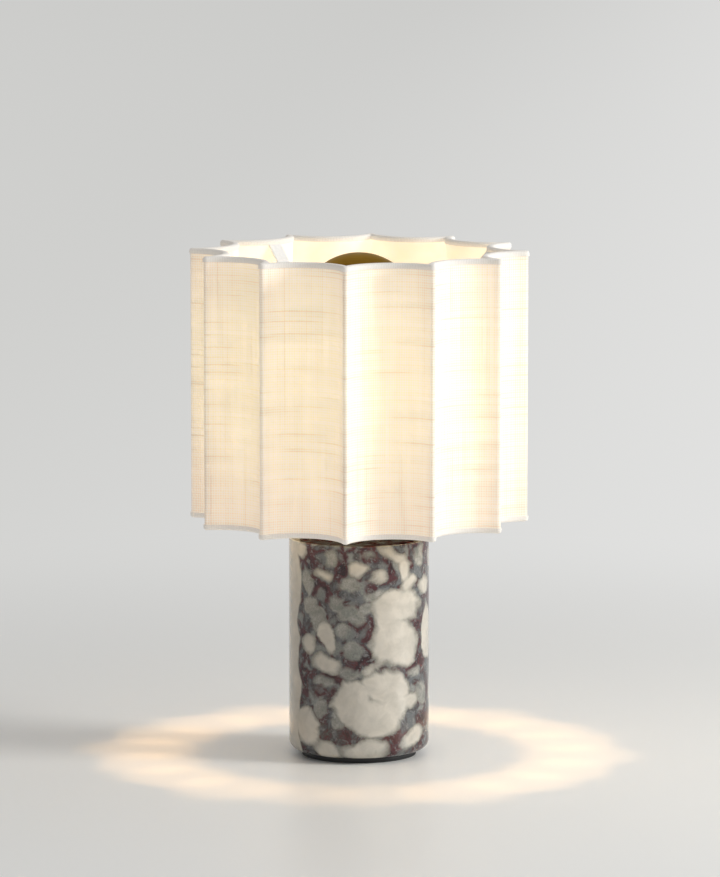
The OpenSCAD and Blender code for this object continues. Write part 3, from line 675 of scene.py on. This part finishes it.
# LED phosphor: yellow when seen close, and lit
phosphor = mottled("led_phosphor", ("f2cf55", "f7dc74"), 0.8, FINE_RELIEF, (0.3, 0.4), {
    "Emission Color": linear(LAMP_COLOUR), "Emission Strength": 2.0})
finish_nodes(phosphor, "led_chips")

# Dome: a spun brass cap over the light, which is also the touch switch. It screws on the tube
# and clamps the round brass seat under it, on which the shade's ring rests.
DOME_SKIRT = 10.0
DOME_WALL = 1.2
DOME_ARC_POINTS = 28
DOME_RIM_ROUND = 0.3
SEAT_EASE = 0.4

# Aged brass: deeper and browner than the satin brass, with broader highlights
dome_brass = turned_brass("aged_spun_brass", "71521c", "967229", 0.7, (0.27, 0.40))
dome_low, dome_r = foot("dome_cap"), radius("dome_cap")
dome_centre = dome_low + DOME_SKIRT


def quarter(r):
    """Points of a quarter circle, from the equator to the pole"""
    turns = [math.pi / 2 * k / DOME_ARC_POINTS for k in range(DOME_ARC_POINTS + 1)]
    return [(r * math.cos(a), dome_centre + r * math.sin(a)) for a in turns[:-1]] + [(0.0, dome_centre + r)]


dome_wall = [(dome_r, dome_low)] + quarter(dome_r)
dome_lining = [(dome_r - DOME_WALL, dome_low)] + quarter(dome_r - DOME_WALL)
dome = turned(dome_lining[::-1] + dome_wall, closed=False)
round_ring(dome, dome_r, dome_low, DOME_RIM_ROUND, 2)
piece("spun_dome", dome, "base", dome_brass, ["dome_cap"])
piece("brass_seat", ease(turned(plain_disc("seat_plate", TUBE_HOLE_RADIUS)), SEAT_EASE),
      "base", satin_brass, ["seat_plate"])
finish_nodes(satin_brass, "dome_base")

# Felt washer: a punched ring of pressed wool that lies loose on the seat, so that the shade
# turns without a scratch.
CARRIER_BORE = 37.0
FELT_EASE = 0.2

# Pressed wool felt: dark, without any shine, with a short matted nap
wool_felt = mottled("pressed_wool_felt", ("453e36", "6b6157"), 0.35, 0.12, (0.9, 1.0), {
    "Sheen Weight": 0.3, "Sheen Roughness": 0.6, "Specular IOR Level": 0.1})
piece("felt_ring", ease(turned(plain_disc("seat_washer", CARRIER_BORE)), FELT_EASE, 2),
      "washer", wool_felt, ["seat_washer"])

# Shade carrier: a flat steel ring that drops over the dome, and three flat arms that rise to
# the shade's top ring. It is welded up and powder coated white.
ARM_WIDTH = 9.0
ARM_THICKNESS = 1.6
ARM_ANGLES = (15, 135, 255)
ARM_EASE = 0.35
CARRIER_EASE = 0.3

# White powder coat: satin, with the soft ripple of a baked powder
white_coat = mottled("white_powder_coat", ("e9e9e6", "f3f3f1"), 1.6, 0.03, (0.32, 0.42), {})

piece("carrier_ring", ease(turned(plain_disc("spider_ring", CARRIER_BORE)), CARRIER_EASE),
      "shade", white_coat, ["spider_ring"])

# Shade frame: round steel wire bent into a ring of twelve scallops at the top and at the
# bottom, joined by a straight wire at each point and coated white like the carrier.
SCALLOPS = 12
SCALLOP_DEPTH = 15.0
ARC_STEPS = 24
POINT_STEPS = 8
STEPS = ARC_STEPS + POINT_STEPS
WIRE_SIDES = 12
RIB_SIDES = 20

wire = top("top_ring") - foot("top_ring")
rib_r = radius("shade_ribs") - wire / 2
half_step = math.pi / SCALLOPS
chord_half = rib_r * math.sin(half_step)
scallop_r = (chord_half ** 2 + SCALLOP_DEPTH ** 2) / (2 * SCALLOP_DEPTH)
scallop_centre = rib_r * math.cos(half_step) - SCALLOP_DEPTH + scallop_r
scallop_turn = math.asin(chord_half / scallop_r)


def on_plan(step, out):
    """The point of the shade's plan at a step along it, that far outside the wires' centre line.
    Inside that line neighbouring scallops meet on the rib's radius, and outside it a layer wraps
    round the rib"""
    scallop, part = divmod(step, STEPS)
    r = scallop_r - out
    end_turn = scallop_turn
    if out < 0:
        across = scallop_centre * math.sin(half_step)
        meeting = scallop_centre * math.cos(half_step) - math.sqrt(r * r - across * across)
        end_turn = math.asin(meeting * math.sin(half_step) / r)
    turn = end_turn * (2 * min(part / ARC_STEPS, 1.0) - 1)
    point = Vector((scallop_centre - r * math.cos(turn), r * math.sin(turn)))
    if part > ARC_STEPS and out > 0:
        lean = half_step + (scallop_turn + half_step) * (2 * (part - ARC_STEPS) / POINT_STEPS - 1)
        rib = rib_r * Vector((math.cos(half_step), math.sin(half_step)))
        point = rib + out * Vector((math.cos(lean), math.sin(lean)))
    return Matrix.Rotation(half_step * (2 * scallop + 1), 2) @ point


def round_the_shade(outline, bend=None):
    """A closed bmesh whose section, an outline of (out, height), goes once round the shade. Its
    UV map is the cloth laid flat: x along the shade's girth, y up it"""
    bm = bmesh.new()
    laid_flat = bm.loops.layers.uv.new("laid_flat")
    total = SCALLOPS * STEPS
    bmesh.ops.create_grid(bm, x_segments=total, y_segments=len(outline), size=0.5)
    low = min(z for _, z in outline)
    high = max(z for _, z in outline)
    middle = sum(out for out, _ in outline) / len(outline)
    lengths = [0.0]
    for step in range(total):
        lengths.append(lengths[-1] + (on_plan(step + 1, middle) - on_plan(step, middle)).length)
    spots = {v: (round((v.co.x + 0.5) * total), round((v.co.y + 0.5) * len(outline))) for v in bm.verts}
    for face in bm.faces:
        for loop in face.loops:
            step, row = spots[loop.vert]
            height = outline[row % len(outline)][1]
            loop[laid_flat].uv = (lengths[step] / lengths[-1], (height - low) / (high - low))
    for vert, (step, row) in spots.items():
        out, height = outline[row % len(outline)]
        if bend:
            out += bend(step, (height - low) / (high - low))
        vert.co = Vector((*on_plan(step % total, out), height)) * MM
    bmesh.ops.remove_doubles(bm, verts=bm.verts, dist=2 * MERGE_WITHIN * MM)
    bmesh.ops.dissolve_degenerate(bm, edges=bm.edges, dist=MERGE_WITHIN * MM)
    return bm, lengths[-1]


def wire_section(height):
    """Outline of the frame's round wire at a height"""
    turns = [2 * math.pi * k / WIRE_SIDES for k in range(WIRE_SIDES)]
    return [(wire / 2 * math.cos(a), height + wire / 2 * math.sin(a)) for a in turns]


for name, node in (("top_wire", "top_ring"), ("bottom_wire", "bottom_ring")):
    ring, _ = round_the_shade(wire_section(foot(node) + wire / 2))
    piece(name, ring, "shade", white_coat, [node])

rib_low, rib_high = foot("shade_ribs"), top("shade_ribs")
ribs = bmesh.new()
for k in range(SCALLOPS):
    rib = bmesh.ops.create_cone(
        ribs, cap_ends=True, segments=RIB_SIDES, radius1=wire / 2 * MM, radius2=wire / 2 * MM,
        depth=(rib_high - rib_low) * MM)
    place = Matrix.Rotation(2 * half_step * k, 4, "Z") @ Matrix.Translation(
        (rib_r * MM, 0, (rib_high + rib_low) / 2 * MM))
    bmesh.ops.transform(ribs, matrix=place, verts=rib["verts"])
piece("rib_wires", ribs, "shade", white_coat, ["shade_ribs"])

# Carrier arms: three lengths cut from flat steel bar, welded to the carrier ring's edge and to
# the inside of the top ring, and coated with the frame.
ring_low, ring_mid = foot("spider_ring"), (foot("spider_ring") + top("spider_ring")) / 2
arm_in = radius("spider_ring")
arm_out = on_plan(ARC_STEPS // 2, -wire / 2).length
arm_end = foot("top_ring")
slope = math.atan2(arm_end - ring_mid, arm_out - arm_in)
half = ARM_THICKNESS / 2 / math.cos(slope)

arms = bmesh.new()
for angle in ARM_ANGLES:
    side = [(arm_in, ring_low), (arm_in, ring_mid + half), (arm_out, arm_end + half),
            (arm_out, arm_end - half), (arm_in + (ring_low - ring_mid + half) / math.tan(slope), ring_low)]
    face = arms.faces.new([arms.verts.new((r * MM, -ARM_WIDTH / 2 * MM, z * MM)) for r, z in side])
    grown = bmesh.ops.extrude_face_region(arms, geom=[face])["geom"]
    far = [v for v in grown if isinstance(v, bmesh.types.BMVert)]
    bmesh.ops.translate(arms, vec=(0, ARM_WIDTH * MM, 0), verts=far)
    bmesh.ops.rotate(arms, cent=(0, 0, 0), matrix=Matrix.Rotation(math.radians(angle), 3, "Z"),
                     verts=far + list(face.verts))
bmesh.ops.recalc_face_normals(arms, faces=arms.faces)
ease(arms, ARM_EASE)
piece("carrier_arms", arms, "shade", white_coat, ["spider_arms"])

# Lining: one length of smooth cream cotton, stretched inside the wires and turned over both
# rings. It softens the drum's light: part of its glow is that light passing through, part is a painted glow
# from an emission.
CLOTH_ROWS = 24
LINING_OUT = (-1.65, -1.25)
CLOTH_BOW = 1.0
CLOTH_RIPPLE = 0.16
RIPPLE_ALONG = 0.11
RIPPLE_UP = 3.0
RIPPLE_PLACE = 7.3
# Where the cloth's painted glow centres, and the reach over which it fades, in millimetres
GLOW_HEIGHT = 232.0
GLOW_REACH = (80.0, 128.0)


def cloth_outline(node, inner, outer):
    """Closed section of a cloth wall: up its outer face and down its inner face"""
    low, high = foot(node), top(node)
    rows = [low + (high - low) * k / CLOTH_ROWS for k in range(CLOTH_ROWS + 1)]
    return [(outer, z) for z in rows] + [(inner, z) for z in rows[::-1]]


def stretched(step, rise):
    """Cloth pulled tight between two rings: it eases out a little in the middle of a scallop,
    and ripples faintly"""
    part = step % STEPS
    if part >= ARC_STEPS or part == 0:
        return 0.0
    hollow = math.sin(math.pi * part / ARC_STEPS) ** 2 * math.sin(math.pi * rise)
    ripple = noise.noise(Vector((step * RIPPLE_ALONG, rise * RIPPLE_UP, RIPPLE_PLACE)))
    return hollow * (CLOTH_BOW + CLOTH_RIPPLE * ripple)


def backlit_cloth(name, base, through, share, glow, constants, weave):
    """A thin cloth: it shows its own colour in the room's light and lets a share of the lamp's light
    through. Over that it has a painted glow, an emission that stands in for the lamp's light coming
    through, set by the distance from the drum and strongest where its threads are thin. weave gives
    its tones, its light, its relief and its thinness; glow gives the painted glow's colours and
    strengths near the drum and far from it"""
    made, tree, shader = new_material(name, constants)
    tone, let_through, relief, thinness = weave(tree, base, through)
    # Painted glow: emission that stands in for the drum's light through the cloth, fading with the distance
    # from the drum
    from_drum = add(tree, "VectorMath", {0: millimetres(tree), 1: (0.0, 0.0, GLOW_HEIGHT)},
                    operation="SUBTRACT")
    reach = add(tree, "VectorMath", {0: from_drum}, out="Value", operation="LENGTH")
    fall = add(tree, "MapRange", {
        "Value": reach, "From Min": GLOW_REACH[0], "From Max": GLOW_REACH[1]},
        interpolation_type="SMOOTHSTEP")
    warmth = add(tree, "ValToRGB", {"Fac": fall}, stops=[(0.0, glow[0]), (1.0, glow[1])])
    level = add(tree, "MapRange", {
        "Value": fall, "To Min": glow[2] / (1 - share), "To Max": glow[3] / (1 - share)})
    strength = add(tree, "Math", {0: level, 1: thinness}, operation="MULTIPLY")
    feed(shader, {
        "Base Color": tone, "Normal": relief, "Emission Color": warmth, "Emission Strength": strength})
    back = add(tree, "BsdfTranslucent", {"Color": let_through, "Normal": relief})
    shown = add(tree, "MixShader", {0: share, 1: shader.outputs["BSDF"], 2: back})
    feed(next(n for n in tree.nodes if n.type == "OUTPUT_MATERIAL"), {"Surface": shown})
    return made


def smooth_cotton(tree, base, through):
    """A fine even weave, too close to show thread by thread: only a soft cloudiness shows"""
    point = millimetres(tree)
    cloud = add(tree, "TexNoise", {"Vector": point, "Scale": 1 / 12.0, "Detail": 3.0})
    fine = add(tree, "TexNoise", {"Vector": point, "Scale": 1 / 0.7, "Detail": 2.0})
    tone, light = (
        add(tree, "ValToRGB", {"Fac": cloud}, stops=[(0.3, tones[0]), (0.7, tones[1])])
        for tones in (base, through))
    relief = add(tree, "Bump", {"Height": fine, "Strength": 0.4, "Distance": 0.05 * MM})
    thinness = add(tree, "MapRange", {
        "Value": cloud, "From Min": 0.3, "From Max": 0.7, "To Min": 0.97, "To Max": 1.03})
    return tone, light, relief, thinness


# Smooth cotton: cream and matt, brightest beside the drum, with a painted glow that stands in for the drum's
# light through it
cotton = backlit_cloth(
    "cream_cotton_lining", ("f8f2e4", "fdf8ee"), ("faf0da", "fdf6e6"), 0.4, ("fffff6", "fffffa", 0.12, 0.26),
    {"Roughness": 0.85, "Specular IOR Level": 0.2}, smooth_cotton)
lining_bm, lining_girth = round_the_shade(cloth_outline("shade_lining", *LINING_OUT), stretched)
lining = piece("cotton_lining", lining_bm, "shade", cotton, ["shade_lining"])
cloth_height = top("linen_cover") - foot("linen_cover")

# Linen cover: one strip of off-white slub linen, cut along the thread, pulled round the twelve
# rib wires and glued over both rings.
LINEN_OUT = (1.25, 1.75)
THREAD_MM = 1.45
WEFT_RUN_MM = 55.0
WARP_RUN_MM = 80.0
RIB_WRAP_MM = 4.0
RIB_SHADE = 0.75


def slub_linen(tree, base, through):
    """A plain weave with uneven threads. Thick places, the slubs, run along single threads and
    stop the lamp's light, so that they show as thin tan lines. The threads are drawn at 1.45 mm,
    twice their real width, because finer ones wouldn't show"""
    flat = add(tree, "UVMap", uv_map="laid_flat")
    flat = add(tree, "Mapping", {"Vector": flat, "Scale": (linen_girth, cloth_height, 1.0)})
    across = add(tree, "SeparateXYZ", {"Vector": flat}, out="X")
    up = across.node.outputs["Y"]

    def thread(along, over, run_mm, seed):
        """The own uneven thickness of the thread that a point is on, and how near its middle"""
        count = add(tree, "Math", {0: over, 1: THREAD_MM}, operation="DIVIDE")
        own = add(tree, "Math", {0: count}, operation="FLOOR")
        run = add(tree, "Math", {0: along, 1: run_mm}, operation="DIVIDE")
        spot = add(tree, "CombineXYZ", {"X": run, "Y": own, "Z": seed})
        spread = add(tree, "VectorMath", {0: spot, 1: (1.0, 7.31, 1.0)}, operation="MULTIPLY")
        thickness = add(tree, "TexNoise", {"Vector": spread, "Scale": 1.0, "Detail": 1.0})
        wave = add(tree, "Math", {0: count, 1: 0.5}, operation="PINGPONG")
        return thickness, wave

    weft, weft_wave = thread(across, up, WEFT_RUN_MM, 3.7)
    warp, warp_wave = thread(up, across, WARP_RUN_MM, 11.9)

    def slubs(thickness, wave, low, high, weight):
        """How strongly a slub shows: along a thread's thick places, and only near its middle"""
        thick = add(tree, "MapRange", {"Value": thickness, "From Min": low, "From Max": high,
                    "To Max": weight}, interpolation_type="SMOOTHSTEP")
        core = add(tree, "MapRange", {"Value": wave, "From Min": 0.1, "From Max": 0.4},
                   interpolation_type="SMOOTHSTEP")
        return add(tree, "Math", {0: thick, 1: core}, operation="MULTIPLY")

    slub = add(tree, "Math", {
        0: slubs(weft, weft_wave, 0.61, 0.73, 1.0), 1: slubs(warp, warp_wave, 0.64, 0.78, 0.6)},
        operation="MAXIMUM")
    body = add(tree, "Math", {0: weft, 1: warp}, operation="ADD")
    weave = add(tree, "Math", {0: weft_wave, 1: warp_wave}, operation="ADD")
    dense = add(tree, "Math", {0: body, 1: 0.6, 2: weave}, operation="MULTIPLY_ADD")
    coarse = add(tree, "MapRange", {"Value": dense, "From Min": 0.65, "From Max": 1.55})
    threads = [
        add(tree, "ValToRGB", {"Fac": coarse}, stops=[(0.0, tones[0]), (1.0, tones[1])])
        for tones in (base, through)]
    tone, light = (
        add(tree, "Mix", {0: slub, 6: plain, 7: linear(tones[2])}, out=2, data_type="RGBA")
        for plain, tones in zip(threads, (base, through)))
    open_weave = add(tree, "MapRange", {"Value": coarse, "To Min": 1.28, "To Max": 0.72})
    stopped = add(tree, "Math", {0: slub, 1: -0.09, 2: 1.0}, operation="MULTIPLY_ADD")
    # Painted shadow of each rib wire: the painted glow dims to RIB_SHADE in a narrow band along the rib
    panel = linen_girth / SCALLOPS
    past_rib = add(tree, "Math", {0: across, 1: 1 / panel, 2: RIB_WRAP_MM / 2 / panel},
                   operation="MULTIPLY_ADD")
    beside = add(tree, "Math", {0: past_rib, 1: 0.5}, operation="PINGPONG")
    painted_rib_shadow = add(tree, "MapRange", {
        "Value": beside, "From Min": 0.05 * RIB_WRAP_MM / panel, "From Max": 0.3 * RIB_WRAP_MM / panel,
        "To Min": RIB_SHADE}, interpolation_type="SMOOTHSTEP")
    thinness = add(tree, "Math", {0: open_weave, 1: stopped}, operation="MULTIPLY")
    thinness = add(tree, "Math", {0: thinness, 1: painted_rib_shadow}, operation="MULTIPLY")
    height = add(tree, "Math", {0: slub, 1: 0.6, 2: weave}, operation="MULTIPLY_ADD")
    relief = add(tree, "Bump", {"Height": height, "Strength": 0.5, "Distance": 0.15 * MM})
    return tone, light, relief, thinness


linen_bm, linen_girth = round_the_shade(cloth_outline("linen_cover", *LINEN_OUT), stretched)
# Slub linen: off-white and matt. The lamp's light, partly real and partly a painted glow, shows its weave and
# its slubs
linen = backlit_cloth(
    "off_white_slub_linen", ("f6f2eb", "e4ddcf", "e4dbcc"), ("fcf8ea", "ece4cf", "ece2cd"), 0.3,
    ("fdf1d4", "ffe9dc", 0.28, 0.205),
    {"Roughness": 0.9, "Specular IOR Level": 0.2, "Sheen Weight": 0.15}, slub_linen)
linen_cover = piece("linen_wrap", linen_bm, "shade", linen, ["linen_cover"])

# Edge tape: grey-white woven cotton tape, rolled over the linen, the wire and the lining at
# both edges and glued down, so that no raw edge shows.
TAPE_OUT = (-2.30, 2.40)
TAPE_WALL = 0.6
TAPE_HEIGHT = 3.2
TAPE_ROLL = 1.7
TAPE_STEPS = 5
TAPE_RIB_MM = 1.1


def cotton_tape():
    """Woven cotton tape: matt grey-white, with fine ribs across its length, and a faint painted glow: an
    emission that stands in for the lamp's light through it
    """
    # The emission is a painted glow
    made, tree, shader = new_material("woven_cotton_tape", {
        "Roughness": 0.95, "Specular IOR Level": 0.15, "Sheen Weight": 0.1,
        "Emission Color": linear("fff2e2"), "Emission Strength": 0.24})
    flat = add(tree, "UVMap", uv_map="laid_flat")
    across = add(tree, "SeparateXYZ", {"Vector": flat}, out="X")
    count = add(tree, "Math", {0: across, 1: linen_girth / TAPE_RIB_MM}, operation="MULTIPLY")
    wave = add(tree, "Math", {0: count, 1: 0.5}, operation="PINGPONG")
    fuzz = add(tree, "TexNoise", {"Vector": millimetres(tree), "Scale": 1 / 0.9, "Detail": 4.0})
    mix = add(tree, "Math", {0: fuzz, 1: 0.8, 2: wave}, operation="MULTIPLY_ADD")
    tone = add(tree, "ValToRGB", {"Fac": mix}, stops=[(0.3, "c9c7c2"), (0.9, "dad8d3")])
    relief = add(tree, "Bump", {"Height": mix, "Strength": 0.6, "Distance": 0.15 * MM})
    feed(shader, {"Base Color": tone, "Normal": relief})
    return made


def rolled_tape(edge, way):
    """Section of the tape folded over an edge at a height; way is 1 at the top, -1 at the foot"""
    inner, outer = TAPE_OUT
    bends = [math.pi / 2 * k / TAPE_STEPS for k in range(TAPE_STEPS + 1)]
    curve = [(TAPE_ROLL - TAPE_ROLL * math.cos(a), TAPE_ROLL - TAPE_ROLL * math.sin(a)) for a in bends]
    outline = [(outer - TAPE_WALL, TAPE_HEIGHT), (outer, TAPE_HEIGHT)]
    outline += [(outer - along, down) for along, down in curve]
    outline += [(inner + down, along) for along, down in curve]
    outline += [(inner, TAPE_HEIGHT), (inner + TAPE_WALL, TAPE_HEIGHT), (inner + TAPE_WALL, TAPE_WALL),
                (outer - TAPE_WALL, TAPE_WALL)]
    return [(out, edge - way * down) for out, down in outline]


tape = cotton_tape()
for name, node, way in (("top_tape", "top_trim", 1), ("bottom_tape", "bottom_trim", -1)):
    edge = top(node) if way > 0 else foot(node)
    rolled, _ = round_the_shade(rolled_tape(edge, way))
    piece(name, rolled, "shade", tape, [node])
